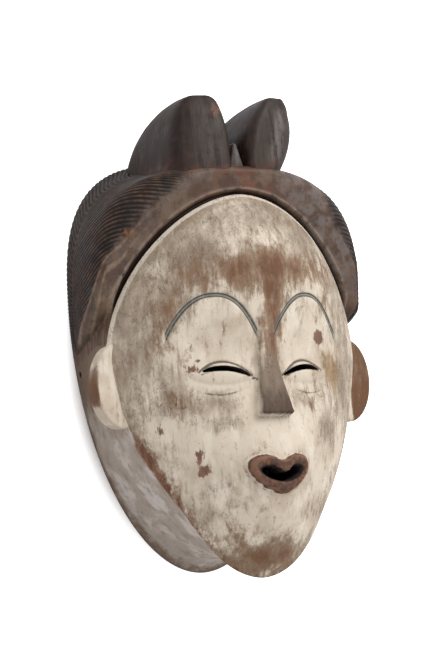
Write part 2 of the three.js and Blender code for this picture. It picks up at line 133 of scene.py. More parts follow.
def face_height(x, y):
    """The smooth face of the plate, before its features are carved."""
    turn = np.degrees(np.arctan2(y - FACE["line"], x))
    share = np.minimum(1, np.hypot(x, y - FACE["line"]) / reach(FACE, turn))
    edge = edge_height(turn)
    dome = edge + (FACE_MIDDLE_Z - edge) * (1 - share**FACE_FALL)
    swell = sum(bulge(np.abs(x), y, *form) for form in (FOREHEAD, MUZZLE, CHIN, CHEEK, EYE_SOCKET))
    return dome + swell * (1 - share**6) + EDGE_CHAMFER * (1 - smooth(share, 0.945, 1))


# Features of the face
# Nose, lids, lips and brows are raised or cut on the plate. They keep to round shares of the face, alike on
# both sides, as this kind of mask has them.
NOSE = {"top": 18, "foot": -59, "bridge": 8, "width": 23, "height": 9}
EYE = {"x": 31, "y": -30, "half": 23, "high": 8, "height": 3.5}
SLIT = {"x": 29, "half": 16.2, "inner": -32.5, "outer": -28.5, "rise": 3.4, "open": 3.7,
        "cut": 1.4, "wide": 1.6, "fade": (0.8, 1.15)}
CREASE = {"x": 28.5, "half": 18.5, "inner": -34.5, "outer": -28.5, "rise": 9,
          "cut": 1.1, "wide": 0.9, "fade": (0.85, 1.1)}
BAG = {"x": 34, "half": 17, "inner": -40, "outer": -40, "rise": -4.5,
       "cut": 0.6, "wide": 1.4, "fade": (0.5, 1)}
BROW = {"x": 36, "half": 30, "foot": -5, "rise": 27, "cut": 1.3, "wide": 1.5, "fade": (0.85, 1.06)}
LIPS = {"y": -94, "half": 23, "above": 9.5, "below": 17.5, "notch": 5, "height": 4.8}
MOUTH = {"y": -96.5, "half": 15.4, "above": 3.6, "below": 7.4, "notch": 5.2}


def near(gap, width):
    """1 on a line, fading away within about a width of it."""
    return np.exp(-((gap / width) ** 2))


def nose_parts(x, y):
    """How high the nose stands, and how much of a point belongs to its flat front."""
    along = np.clip((NOSE["top"] - y) / (NOSE["top"] - NOSE["foot"]), 0, 1)
    half = lerp(NOSE["bridge"], NOSE["width"], along**1.6) / 2
    front = 1 - smooth(np.abs(x), half - 0.3, half + lerp(1.5, 2.8, along))
    ends = smooth(y, NOSE["foot"] - 0.9, NOSE["foot"] + 0.5) * (1 - smooth(y, NOSE["top"], NOSE["top"] + 7))
    return lerp(0.5, NOSE["height"], along**1.3) * front * ends, front * ends


def arc_gap(line, x, y):
    """How far a point lies above an arc over each eye, and where along the arc it is, from -1 to 1."""
    share = (np.abs(x) - line["x"]) / line["half"]
    level = lerp(line["inner"], line["outer"], np.clip((share + 1) / 2, 0, 1))
    return y - level - line["rise"] * (1 - np.clip(share, -1.2, 1.2) ** 2), share


def brow_gap(x, y):
    """How far a point lies across the brow's line, and where along the brow it is, from -1 to 1."""
    share = (np.abs(x) - BROW["x"]) / BROW["half"]
    held = np.clip(np.abs(share), 0, 1.15)
    slope = BROW["rise"] * 2.3 * held**1.3 / BROW["half"]
    return (y - BROW["foot"] - BROW["rise"] * (1 - held**2.3)) / np.sqrt(1 + slope**2), share


def heart_outline(shape, angle):
    c, s = np.cos(angle), np.sin(angle)
    dip = shape["notch"] * near(c, 0.35)
    upper = shape["above"] * np.abs(s) ** 0.55 - dip * s
    drawn_in = np.where(s >= 0, 1, 1 - 0.16 * np.abs(s))
    return shape["half"] * c * drawn_in, np.where(s >= 0, upper, shape["below"] * s * (1 - 0.12 * c * c))


def heart_share(shape, x, y):
    """0 at the middle of a heart and 1 on its outline."""
    sunk = 0.45 * shape["below"]
    outline_x, outline_y = heart_outline(shape, np.linspace(-np.pi, np.pi, 721))
    angles, reaches = np.arctan2(outline_y + sunk, outline_x), np.hypot(outline_x, outline_y + sunk)
    order = np.argsort(angles)
    up = y - shape["y"] + sunk
    return np.hypot(x, up) / np.interp(np.arctan2(up, x), angles[order], reaches[order], period=2 * np.pi)


def line_cut(line, gap, share):
    """How deep a line is cut at a gap from its middle. It fades out towards its ends."""
    return line["cut"] * near(gap, line["wide"]) * (1 - smooth(np.abs(share), *line["fade"]))


def carved_height(x, y):
    z = face_height(x, y) + nose_parts(x, y)[0]
    lid = ((np.abs(x) - EYE["x"]) / EYE["half"]) ** 2 + (np.abs(y - EYE["y"]) / EYE["high"]) ** 1.6
    z += EYE["height"] * np.clip(1 - lid, 0, 1) ** 0.8
    for line in (SLIT, CREASE, BAG):
        z -= line_cut(line, *arc_gap(line, x, y))
    z -= line_cut(BROW, *brow_gap(x, y))
    crease, share = arc_gap(CREASE, x, y)
    z += 0.7 * near(crease + 2.6, 1.8) * (1 - smooth(np.abs(share), 0.6, 1))
    lips, mouth = heart_share(LIPS, x, y), heart_share(MOUTH, x, y)
    z += LIPS["height"] * (1 - smooth(lips, 0.84, 1.05))
    z -= 3.4 * (1 - smooth(mouth, 0.95, 1.32)) + 0.7 * near(lips - 1.08, 0.05)
    return z


# Sides of the block
# Above the ears the hair: a groove and a smooth band round the face, then combed locks over a rounded
# shoulder down to a seam near the rim. Below them the bare temple and jaw, hollowed in at the neck under
# the chin. A share of the side is 0 at the face plate's edge and 1 at the rim.
BAND_WIDTH = 19
BAND_RISE = 2
BAND_SHARE = 0.3
SHOULDER_AT = 0.6
SHOULDER_SHARE = 0.84
GROOVE_SHARE = BAND_SHARE * 4.2 / BAND_WIDTH
GROOVE_DEPTH = 3.6
SEAM_AT = 0.88
HAIR_END_TURN = 15
COLUMNS_PER_STRAND = 6
STRAND_DEPTH = 1.3
STRAND_FALL = 10
BAND_SWELL = 0.9


def bezier(points, share):
    """A point of a Bezier curve, by drawing its control points together."""
    while len(points) > 1:
        points = [lerp(np.asarray(a, float), np.asarray(b, float), share) for a, b in zip(points, points[1:])]
    return points[0]


def hair_section(turn, along):
    edge, shoulder, rim = reach(FACE, turn), reach(SHOULDER, turn), reach(RIM, turn)
    band_end = np.minimum(edge + BAND_WIDTH, lerp(edge, shoulder, 0.75))
    top, shoulder_z = edge_height(turn) + BAND_RISE, edge_height(turn) * SHOULDER_SHARE
    if along <= BAND_SHARE:
        share = along / BAND_SHARE
        return lerp(edge, band_end, share), lerp(edge_height(turn), top, share)
    if along <= SHOULDER_AT:
        share = (along - BAND_SHARE) / (SHOULDER_AT - BAND_SHARE)
        return bezier([band_end, shoulder, shoulder], share), bezier([top, top, shoulder_z], share)
    share = (along - SHOULDER_AT) / (1 - SHOULDER_AT)
    return bezier([shoulder, shoulder, rim], share), bezier([shoulder_z, shoulder_z * 0.6, 0 * top], share)


def jaw_section(turn, along):
    edge, rim, top = reach(FACE, turn), reach(RIM, turn), edge_height(turn)
    chin = smooth(-elevation(turn), 35, 85)
    across = [edge, edge + lerp(3, -8, chin), rim + lerp(5, -20, chin), rim]
    return bezier(across, along), bezier([top, top - 15, 0 * top + 26, 0 * top], along)


def drifted(turn, along):
    """Where a strand that starts at a turn has got to: drawn to the crown on the band, then combed down."""
    up = np.clip(elevation(turn), -90, 90)
    side = np.where(np.cos(np.radians(turn)) >= 0, 1, -1)
    gathered = np.where(up > 15, 90 - (90 - up) ** 1.6 * 75**-0.6, up)
    start = lerp(up, gathered, smooth(along, 0.05, BAND_SHARE))
    fall = STRAND_FALL * smooth(up, -30, 40) * (1 - smooth(up, 86, 90))
    combed = lerp(start, up - fall, np.clip((along - BAND_SHARE) / (SEAM_AT - BAND_SHARE), 0, 1) ** 0.85)
    back = combed + 0.6 * fall * smooth(along, SEAM_AT, 1)
    return np.where(side > 0, back, 180 - back)


def comb_start(turn):
    """The share of the side where the combed locks start: late over the crown and low on the left."""
    up, right = elevation(turn), np.cos(np.radians(turn)) >= 0
    left_start = lerp(lerp(0.86, 0.29, smooth(up, 13, 34)), 0.54, smooth(up, 52, 80))
    return np.where(right, lerp(0.31, 0.62, smooth(up, 38, 70)), left_start)


def dig_of(turn, along):
    """The groove round the face, the thin lip beside it, the dip where the locks start and the seam's dip."""
    groove = smooth(along, 0, 0.008) * (1 - smooth(along, GROOVE_SHARE * 0.3, GROOVE_SHARE))
    lip = 0.7 * near(along - GROOVE_SHARE * 1.2, 0.01)
    start = 0.4 * near(along - comb_start(turn) - 0.01, 0.012)
    seam = 1.2 * near(along - SEAM_AT, 0.01)
    return GROOVE_DEPTH * groove - lip + start + seam


def side_course(turn, strand, along):
    """The points of one course round the block, for columns that start at these turns."""
    place = drifted(turn, along)
    end = lerp(22, HAIR_END_TURN, smooth(along, 0, 0.3))
    hair = smooth(elevation(turn), end - 4, end + 4)
    hair_reach, hair_z = hair_section(place, along)
    jaw_reach, jaw_z = jaw_section(place, along)
    start = comb_start(turn)
    comb = smooth(along, start - 0.01, start + 0.1) * (1 - 0.6 * smooth(along, 0.95, 1))
    relief = STRAND_DEPTH * comb * (np.abs(np.sin(np.pi * strand)) ** 0.7 - 0.6) * hair
    over_band = np.clip((along - GROOVE_SHARE) / (start - GROOVE_SHARE), 0, 1)
    relief = relief + BAND_SWELL * np.sin(np.pi * over_band) * hair
    tail = smooth(elevation(turn), 12, 22) * (1 - smooth(elevation(turn), 28, 50))
    relief = relief + BAND_SWELL * tail * np.sin(5 * np.pi * over_band)
    outward = lerp(0.3, 1, smooth(along, 0.38, 0.52))
    dig = dig_of(turn, along) * hair
    distance = lerp(jaw_reach, hair_reach, hair) + (relief - dig * (along > 0.8)) * outward
    z = lerp(jaw_z, hair_z, hair) + relief * (1 - outward) - dig * (along <= 0.8)
    angle = np.radians(place)
    z = np.where(along < 1, np.maximum(z, 0), 0)
    return distance * np.cos(angle), FACE["line"] + distance * np.sin(angle), z


def put(vert, x, y, z):
    vert.co = (x * MM, (y + MIDDLE_SHIFT) * MM, z * MM)


def open_sheet(mesh, across, along, spread):
    """A grid drawn to a disc. Returns each point's turn and share of the way to the outline."""
    grid = bmesh.ops.create_grid(mesh, x_segments=across, y_segments=along, size=1)
    square = np.array([vert.co for vert in grid["verts"]])
    disc_x = square[:, 0] * np.sqrt(1 - square[:, 1] ** 2 / 2)
    disc_y = square[:, 1] * np.sqrt(1 - square[:, 0] ** 2 / 2)
    share = np.minimum(1, np.hypot(disc_x, disc_y)) ** spread
    return grid["verts"], np.degrees(np.arctan2(disc_y, disc_x)), share


def extrude_course(mesh, edges, column, points):
    """Extrudes an open ring of edges and moves each new point to its column's place."""
    made = bmesh.ops.extrude_edge_only(mesh, edges=edges)["geom"]
    for vert in (item for item in made if isinstance(item, bmesh.types.BMVert)):
        put(vert, *(axis[vert[column]] for axis in points))
    return [item for item in made if isinstance(item, bmesh.types.BMEdge) and item.is_boundary]


CHIN_TURN = 90.05
HAIR_EDGE_TURN = 11
FACE_ACROSS = 164
FACE_ALONG = 206
COURSES = np.concatenate([
    [0.004, 0.009, 0.02, 0.03, 0.045, 0.058, 0.066, 0.073, 0.08, 0.087, 0.1, 0.12],
    np.linspace(0.15, 0.28, 4),
    np.linspace(0.3, 0.36, 4),
    np.linspace(0.385, 0.86, 18),
    [0.87, 0.88, 0.89, 0.905, 0.94, 0.97, 1],
])

block = bmesh.new()
column = block.verts.layers.int.new("column")
strand_layer = block.verts.layers.float.new("strand")
along_layer = block.verts.layers.float.new("along")
up_layer = block.verts.layers.float.new("up")
verts, turns, shares = open_sheet(block, FACE_ACROSS, FACE_ALONG, 1.22)
distances = shares * reach(FACE, turns)
xs = distances * np.cos(np.radians(turns))
ys = FACE["line"] + distances * np.sin(np.radians(turns))
zs = np.where(shares > 0.9999, edge_height(turns), carved_height(xs, ys))
for vert, x, y, z, share in zip(verts, xs, ys, zs, shares):
    put(vert, x, y, z)
    vert[along_layer] = share - 1


def turn_of(vert):
    return np.degrees(np.arctan2(vert.co.y / MM - MIDDLE_SHIFT - FACE["line"], vert.co.x / MM))


def ring_of(mesh):
    """The points of a sheet's edge in order from the chin, and the turn of each."""
    edge = [vert for vert in mesh.verts if vert.is_boundary]
    keyed = sorted(((turn_of(vert) + CHIN_TURN) % 360, vert.index, vert) for vert in edge)
    return [vert for _, _, vert in keyed], np.array([key - CHIN_TURN for key, _, _ in keyed])


outline = [edge for edge in block.edges if edge.is_boundary]
in_hair = {vert for edge in outline for vert in edge.verts if elevation(turn_of(vert)) > HAIR_EDGE_TURN}
bmesh.ops.subdivide_edges(block, edges=[edge for edge in outline if in_hair.issuperset(edge.verts)], cuts=1)
ring, ring_turns = ring_of(block)
crown = int(np.argmin(np.abs(ring_turns - 90)))
strands = np.abs(np.arange(len(ring)) - crown) / COLUMNS_PER_STRAND
for index, vert in enumerate(ring):
    vert[column] = index
    vert[strand_layer] = strands[index]
    vert[along_layer] = 0
    vert[up_layer] = elevation(ring_turns[index])
    on_edge = reach(FACE, ring_turns[index : index + 1])[0]
    angle = np.radians(ring_turns[index])
    put(vert, on_edge * np.cos(angle), FACE["line"] + on_edge * np.sin(angle), edge_height(ring_turns[index]))

edges = [edge for edge in block.edges if edge.is_boundary]
for along in COURSES:
    edges = extrude_course(block, edges, column, side_course(ring_turns, strands, along))
    for vert in {vert for edge in edges for vert in edge.verts}:
        vert[along_layer] = along
bmesh.ops.edgeloop_fill(block, edges=edges)
bmesh.ops.recalc_face_normals(block, faces=block.faces)


def finished(name, mesh, material):
    """A mesh made an object of the scene, smooth, with one material."""
    data = bpy.data.meshes.new(name)
    mesh.to_mesh(data)
    mesh.free()
    data.materials.append(material)
    data.polygons.foreach_set("use_smooth", [True] * len(data.polygons))
    made = bpy.data.objects.new(name, data)
    bpy.context.scene.collection.objects.link(made)
    return made


def without_flaps(data):
    """Splits a mesh's many-sided faces into triangles and drops those that lie back to back."""
    mesh = bmesh.new()
    mesh.from_mesh(data)
    bmesh.ops.triangulate(mesh, faces=[face for face in mesh.faces if len(face.verts) > 4])
    by_corners = {}
    for face in mesh.faces:
        by_corners.setdefault(frozenset(vert.index for vert in face.verts), []).append(face)
    flaps = [face for same in by_corners.values() if len(same) > 1 for face in same]
    bmesh.ops.delete(mesh, geom=flaps, context="FACES")
    mesh.to_mesh(data)
    mesh.free()


def cut_away(piece, cutters):
    """Cuts the cutters out of a piece, keeps the result as its mesh and removes them."""
    for cutter, slot in cutters:
        for _ in range(slot):
            cutter.data.materials.append(cutter.data.materials[0])
        cutter.data.polygons.foreach_set("material_index", [slot] * len(cutter.data.polygons))
        cut = piece.modifiers.new(cutter.name, "BOOLEAN")
        cut.object = cutter
        cut.solver = "MANIFOLD"
    depsgraph = bpy.context.evaluated_depsgraph_get()
    piece.data = bpy.data.meshes.new_from_object(piece.evaluated_get(depsgraph))
    piece.modifiers.clear()
    without_flaps(piece.data)
    for cutter, _ in cutters:
        bpy.data.objects.remove(cutter)


def srgb(code):
    """A hex colour as the linear one that shaders take."""
    parts = [int(code[start : start + 2], 16) / 255 for start in (1, 3, 5)]
    return (*[part / 12.92 if part <= 0.04045 else ((part + 0.055) / 1.055) ** 2.4 for part in parts], 1)


def fill(made, *values, **named):
    """Gives a node's inputs their links and constants, in order or by name."""
    by_name = ((made.inputs[name.replace("_", " ")], value) for name, value in named.items())
    for socket, value in (*zip(made.inputs, values), *by_name):
        if isinstance(value, bpy.types.NodeSocket):
            made.id_data.links.new(value, socket)
        else:
            socket.default_value = value


def node(tree, kind, *values, **settings):
    """Adds a node. Values fill its inputs in order, capital names are inputs and small ones properties."""
    made = tree.nodes.new("ShaderNode" + kind)
    for name in [name for name in settings if name[0].islower()]:
        setattr(made, name, settings.pop(name))
    fill(made, *values, **settings)
    return made.outputs[0]


def new_material(name):
    """A material with an empty tree, its shader and the object's coordinates in millimetres."""
    made = bpy.data.materials.new(name)
    made.use_nodes = True
    tree = made.node_tree
    tree.nodes.clear()
    shader = tree.nodes.new("ShaderNodeBsdfPrincipled")
    output = tree.nodes.new("ShaderNodeOutputMaterial")
    tree.links.new(shader.outputs[0], output.inputs["Surface"])
    coordinates = tree.nodes.new("ShaderNodeTexCoord").outputs["Object"]
    return made, tree, shader, node(tree, "Mapping", coordinates, Scale=(1000, 1000, 1000))


# Kaolin over wood: white river clay rubbed on the light wood, matt and chalky. It is worn to the red-brown
# wood on the edges and forehead, and greyed where hands and smoke have been.
kaolin, tree, shader, place = new_material("kaolin_on_wood")
SOFTLY = {"interpolation_type": "SMOOTHSTEP"}


def blotch(size, detail=4, roughness=0.55, stretch=(1, 1, 1), where=(0, 0, 0)):
    """Noise with features of a size in millimetres."""
    moved = node(tree, "Mapping", place, Location=where, Scale=stretch)
    return node(tree, "TexNoise", moved, Scale=1 / size, Detail=detail, Roughness=roughness)


def mixed(*parts, onto=0.0):
    """Noises with their weights, each taken about its middle, added up onto a value."""
    for noise_value, weight in parts:
        about_middle = node(tree, "Math", noise_value, 0.5, operation="SUBTRACT")
        onto = node(tree, "Math", about_middle, weight, onto, operation="MULTIPLY_ADD")
    return onto


def mark(name, *parts):
    """How strong a painted mark is at a point, with its edge broken up by noises."""
    return mixed(*parts, onto=node(tree, "Attribute", attribute_name=name))


def laid(base, colour, value, low, high, most=1.0):
    """A colour laid over a base as a value goes from low to high, up to its most."""
    share = node(tree, "MapRange", value, low, high, 0.0, most, **SOFTLY)
    base, colour = (srgb(tone) if isinstance(tone, str) else tone for tone in (base, colour))
    return node(tree, "MixRGB", share, base, colour)


grain = blotch(1.0, 4, 0.65, (1, 0.08, 1))
coarse_grain = blotch(2.6, 4, 0.6, (1, 0.07, 1), (0, 0, 31))
cloud = blotch(22, 5, 0.55, (1, 0.8, 1))
patchy = blotch(8, 6, 0.68, (1, 0.38, 1), (40, 0, 0))
flaky = blotch(3.2, 7, 0.72, (1, 0.6, 1), (0, 90, 0))

# The clay itself, with grey dirt in its brush strokes, ochre stains and the places where it is rubbed thin.
clay = laid("#CBBEAD", "#B9AA98", cloud, 0.42, 0.62)
clay = laid(clay, "#D6CBBB", blotch(13, 4, 0.55, (1, 0.5, 1), (9, 5, 0)), 0.5, 0.68, 0.8)
greyed = mark("grey", (patchy, 1.2), (coarse_grain, 0.5), (cloud, 1.7), (flaky, 0.5))
brushed = blotch(3.4, 5, 0.7, (1, 0.22, 1), (12, 0, 0))
strokes = node(tree, "MapRange", brushed, 0.5, 0.66, 0.0, 0.75, **SOFTLY)
clay = laid(clay, "#9B8C7C", greyed, 0.05, 0.7, 0.85)
clay = laid(clay, "#7B6C5E", greyed, 0.5, 1.0, 0.7)
clay = laid(clay, "#8E7D6C", greyed, -0.25, 0.4, strokes)
clay = laid(clay, "#94836F", coarse_grain, 0.56, 0.72, 0.45)
clay = laid(clay, "#82735F", grain, 0.6, 0.76, 0.4)
clay = laid(clay, "#8F7350", mark("ochre", (patchy, 1.2), (grain, 0.6)), 0.25, 0.7, 0.8)
rubbed = mark("wear", (cloud, 0.6), (patchy, 1.5), (coarse_grain, 0.6), (flaky, 0.8))
clay = laid(clay, "#7B614B", rubbed, 0.1, 0.62, 0.9)
clay = laid(clay, "#63402A", rubbed, 0.5, 1.05, 0.85)
nose_wood = laid("#77695B", "#43322A", mark("nose_foot", (coarse_grain, 1.0)), 0.1, 1.0)
clay = laid(clay, nose_wood, mark("nose", (patchy, 0.5), (coarse_grain, 0.5)), 0.2, 0.9, 0.9)

# Chips down to the bare wood, a painted highlight along the plate's edge under the hair, brown specks and
# hair-fine cracks.
bared = laid("#5F3B2A", "#7A533C", coarse_grain, 0.42, 0.62)
chipped = node(tree, "MapRange", mark("chip", (flaky, 1.4), (grain, 0.6)), 0.5, 0.62, 0.0, 0.92, **SOFTLY)
clay = node(tree, "MixRGB", chipped, clay, bared)
# Painted highlight: a paler line along the plate's edge under the hair.
clay = laid(clay, "#D3C7B7", mark("rim_highlight", (patchy, 0.8), (grain, 0.4)), 0.35, 0.7, 0.85)
specked = node(tree, "MapRange", blotch(16, 3, 0.6, (1, 1, 1), (70, 30, 0)), 0.5, 0.6, 0.0, 0.75, **SOFTLY)
clay = laid(clay, "#5E4334", blotch(0.9, 2, 0.5), 0.64, 0.72, specked)
cracking = blotch(9, 5, 0.7, (1, 0.45, 1), (0, 7, 60))
off_crack = node(tree, "Math", mixed((cracking, 1.0)), operation="ABSOLUTE")
crazed = node(tree, "MapRange", mark("grey", (cloud, 2.0)), -0.1, 0.4, 0.0, 0.85, **SOFTLY)
crack = node(tree, "MapRange", off_crack, 0.009, 0.002, 0.0, crazed, **SOFTLY)
clay = node(tree, "MixRGB", crack, clay, srgb("#5C4E42"))

# The jaw's walls, where the clay is a thin cool wash, and the chipped edge between them and the face.
jaw_wood = laid("#9D9186", "#B9B0AA", blotch(24, 4, 0.55, (1, 1, 1), (0, 0, 50)), 0.45, 0.62)
jaw_wood = laid(jaw_wood, "#85766A", blotch(7, 6, 0.68, (1, 0.5, 1), (0, 33, 0)), 0.48, 0.66, 0.75)
jaw_wood = laid(jaw_wood, "#6D6058", grain, 0.56, 0.74, 0.5)
jaw_wood = laid(jaw_wood, "#655040", mark("jaw_brown", (patchy, 1.3), (coarse_grain, 0.6)), 0.3, 0.8, 0.9)
surface = laid(clay, jaw_wood, mark("along"), 0.002, 0.02)
surface = laid(surface, "#9B8770", mark("rim_soil", (patchy, 1.0), (grain, 0.5)), 0.45, 0.9, 0.7)
ridge = mark("ridge", (flaky, 1.6), (patchy, 1.5))
surface = laid(surface, "#7D6350", ridge, 0.2, 0.55, 0.85)
surface = laid(surface, bared, ridge, 0.55, 0.72, 0.92)

# The brows: a grey band with a dark line along each of its sides.
on_brow = mark("brow", (flaky, 0.6))
off_brow = node(tree, "Math", mark("brow_gap"), operation="ABSOLUTE")
sooted = node(tree, "MapRange", on_brow, 0.2, 0.5, 0.0, 0.8, **SOFTLY)
surface = laid(surface, "#6E6D65", off_brow, 2.1, 1.1, sooted)
off_line = node(tree, "Math", node(tree, "Math", off_brow, 0.9, operation="SUBTRACT"), operation="ABSOLUTE")
scratched = node(tree, "MapRange", grain, 0.28, 0.5, 0.0, 0.85, **SOFTLY)
lined = node(tree, "MapRange", on_brow, 0.2, 0.5, 0.0, scratched, **SOFTLY)
surface = laid(surface, "#2B3233", off_line, 0.6, 0.2, lined)

# Painted shade and dirt in the creases, the bare brown wood of the lips, and near-black painted shade round
# the mouth's opening.
# Painted shade and dirt: darker along the lids' creases, beside the slits, in the bag lines, just outside the
# lips and under the nose's foot.
surface = laid(surface, "#43392E", mark("shade_and_dirt", (flaky, 0.7), (grain, 0.4)), 0.25, 0.7, 0.85)
lip_wood = laid("#503A30", "#744F3C", flaky, 0.47, 0.6)
lip_wood = laid(lip_wood, "#86644F", mark("lip_rim"), 0.3, 0.8, 0.6)
surface = laid(surface, lip_wood, mark("lip", (flaky, 0.25)), 0.4, 0.58)
# Painted shade: the surface round the mouth's opening is laid near black.
surface = laid(surface, "#1F1511", mark("mouth"), 0.2, 0.8)
relief = mixed((grain, 0.5), (flaky, 1.0), (coarse_grain, 0.5), (chipped, -0.8), (crack, -1.2))
bump = node(tree, "Bump", Strength=0.45, Distance=0.0006, Height=relief)
roughness = node(tree, "MapRange", chipped, 0.0, 1.0, 0.86, 0.6)
fill(shader, Base_Color=surface, Roughness=roughness, IOR=1.4, Normal=bump)

# Stained hair: wood blackened with charcoal and oil, a soft low sheen on the band, rubbed to red-brown where
# it is touched, with painted shade in the gouged lines and painted highlights in a dusty olive on the ridges
# between them.
hair_stain, tree, shader, place = new_material("dark_stained_hair")
grain = blotch(1.2, 4, 0.65, (1, 0.1, 1))
coarse_grain = blotch(3.2, 4, 0.6, (1, 0.1, 1), (0, 0, 31))
cloud = blotch(17, 5, 0.6)
patchy = blotch(8, 6, 0.65)
flaky = blotch(3.0, 7, 0.7, (1, 0.5, 1), (0, 90, 0))
stain = laid("#1C0F0C", "#2A1814", cloud, 0.4, 0.62)
stain = laid(stain, "#302820", blotch(11, 5, 0.6, (1, 0.4, 1), (30, 0, 9)), 0.52, 0.7, 0.6)
stain = laid(stain, "#3D2219", patchy, 0.5, 0.68, 0.7)

# The crest's lobes: painted light makes their fronts lighter than their sides and lays a painted highlight on
# their facets, and their roots are redder.
lit_front_wood = laid("#42362E", "#332E28", patchy, 0.42, 0.6)
stain = laid(stain, lit_front_wood, mixed((coarse_grain, 0.8), (patchy, 1.0)), -0.32, 0.3, mark("front"))
# Painted highlight on the lobes' facets.
stain = laid(stain, "#756F6C", mixed((coarse_grain, 1.0), (patchy, 1.0)), -0.28, 0.26, mark("facet_highlight"))
stain = laid(stain, "#4F2C20", mark("low", (patchy, 1.6), (grain, 0.4)), 0.75, 1.15, 0.7)

# The smooth band: brown and dusty, with a grey sheen at the sides, strands at its ends, and red at the crown.
band_wood = laid("#4F3B30", "#665344", blotch(15, 5, 0.6, (1, 1, 1), (0, 50, 0)), 0.42, 0.62)
band_wood = laid(band_wood, "#3F362E", blotch(9, 6, 0.7, (1, 1, 1), (0, 0, 77)), 0.48, 0.64, 0.7)
band_wood = laid(band_wood, "#6B625F", patchy, 0.4, 0.62, mark("sheen"))
# Painted highlight: the tail's strands are lighter on the crests of their waves.
waves = node(tree, "Math", mark("tail_turn"), operation="SINE")
band_wood = laid(band_wood, "#8A7562", mixed((flaky, 1.5), (patchy, 3.0), onto=waves), 0.2, 1.5, mark("tail"))
band_wood = laid(band_wood, "#653A29", mark("reddish", (flaky, 0.9), (patchy, 1.3)), 0.3, 0.75, 0.7)
stain = laid(stain, band_wood, mark("band", (patchy, 0.9), (flaky, 0.4)), 0.2, 0.9, 0.92)
# Painted highlight: a lighter line along the band's raised inner lip.
stain = laid(stain, "#8A7A6D", patchy, 0.36, 0.56, mark("band_lip"))

# The combed locks: painted shade in the gouge's line and a painted highlight on the ridge between two lines.
comb = mark("strand")
for operation in ("MULTIPLY", "SINE", "ABSOLUTE"):
    comb = node(tree, "Math", comb, np.pi, operation=operation)
locks = mark("locks")
gouged = node(tree, "Math", locks, 0.9, operation="MULTIPLY")
stain = laid(stain, "#0C0807", comb, 0.5, 0.1, gouged)
ridge_highlight = node(tree, "MapRange", comb, 0.6, 0.98, 0.0, 0.65, **SOFTLY)
ridge_highlight = node(tree, "Math", ridge_highlight, locks, operation="MULTIPLY")
ridge_highlight_tone = laid("#4A443B", "#5F4C3D", cloud, 0.45, 0.6)
stain = laid(stain, ridge_highlight_tone, mixed((patchy, 1.0), (flaky, 0.6)), -0.2, 0.15, ridge_highlight)
# Painted shade: darker down in the groove round the face.
stain = node(tree, "MixRGB", mark("groove"), stain, srgb("#1E1410"))
end_wood = laid("#6B5547", "#4E3A2E", coarse_grain, 0.42, 0.6)
stain = laid(stain, end_wood, mark("hair_end", (patchy, 0.8), (coarse_grain, 0.6)), 0.4, 0.62, 0.95)
stain = laid(stain, "#77482C", mark("chip", (flaky, 1.9), (coarse_grain, 0.8)), 0.48, 0.72, 0.75)
relief = mixed((grain, 0.5), (flaky, 0.7), (coarse_grain, 0.6))
unlocked = node(tree, "Math", 1.0, locks, operation="SUBTRACT")
relief = node(tree, "Math", relief, unlocked, operation="MULTIPLY")
bump = node(tree, "Bump", Strength=0.4, Distance=0.0006, Height=relief)
roughness = node(tree, "MapRange", cloud, 0.3, 0.7, 0.4, 0.58)
fill(shader, Base_Color=stain, Roughness=roughness, IOR=1.3, Normal=bump)

# Bare wood of the hollow: the pale wood gone brown with age and sweat, with the adze's dry grain.
bare_wood, tree, shader, place = new_material("bare_hollow_wood")
grain = blotch(1.4, 4, 0.6, (1, 0.08, 0.5))
wood = laid("#6B4E38", "#8A6A4D", grain, 0.35, 0.65)
wood = laid(wood, "#45301F", blotch(26, 5, 0.6), 0.5, 0.7, 0.7)
bump = node(tree, "Bump", Strength=0.5, Distance=0.0008, Height=grain)
fill(shader, Base_Color=wood, Roughness=0.75, Normal=bump)

# Near-black wood of the cut edges: painted shade on the walls of the eyes and the mouth.
opening_shade_wood, tree, shader, place = new_material("painted_shade_cut_wood")
fill(shader, Base_Color=laid("#1C1411", "#33231B", blotch(3, 5, 0.6), 0.45, 0.65), Roughness=0.8)

mask = finished("mask", block, kaolin)
for added in (hair_stain, bare_wood, opening_shade_wood):
    mask.data.materials.append(added)


# Hollow and openings
# The back is hollowed with an adze to a wall of about 11 mm, and the eyes and mouth are cut through it. A
# small hole on each side takes the lacing of the fibre costume.
WALL = 11
HOLLOW_CHECKS = (0.6, 0.7, 0.8, 0.9, 1)
HOLLOW_CORNER = 0.95
HOLLOW_ACROSS = 60
HOLLOW_ALONG = 76
GOUGE_DEPTH = 0.7
LACING_HOLE = {"diameter": 5, "y": -20, "z": 10}
CUT_FROM = 60
CUT_TO = 130
# The courses of the hollow's side, each a share of its corner's height and how far in it is from the foot.
HOLLOW_COURSES = [(0.9, 0.68), (0.75, 0.35), (0.6, 0.15), (0.45, 0.04), (0.3, 0), (0.15, 0), (0, 0)]


def side_reach(turn, along):
    hair = smooth(elevation(turn), HAIR_END_TURN - 4, HAIR_END_TURN + 4)
    return lerp(jaw_section(turn, along)[0], hair_section(turn, along)[0], hair)


def hollow_foot(turn):
    return np.min([side_reach(turn, along) for along in HOLLOW_CHECKS], axis=0) - WALL


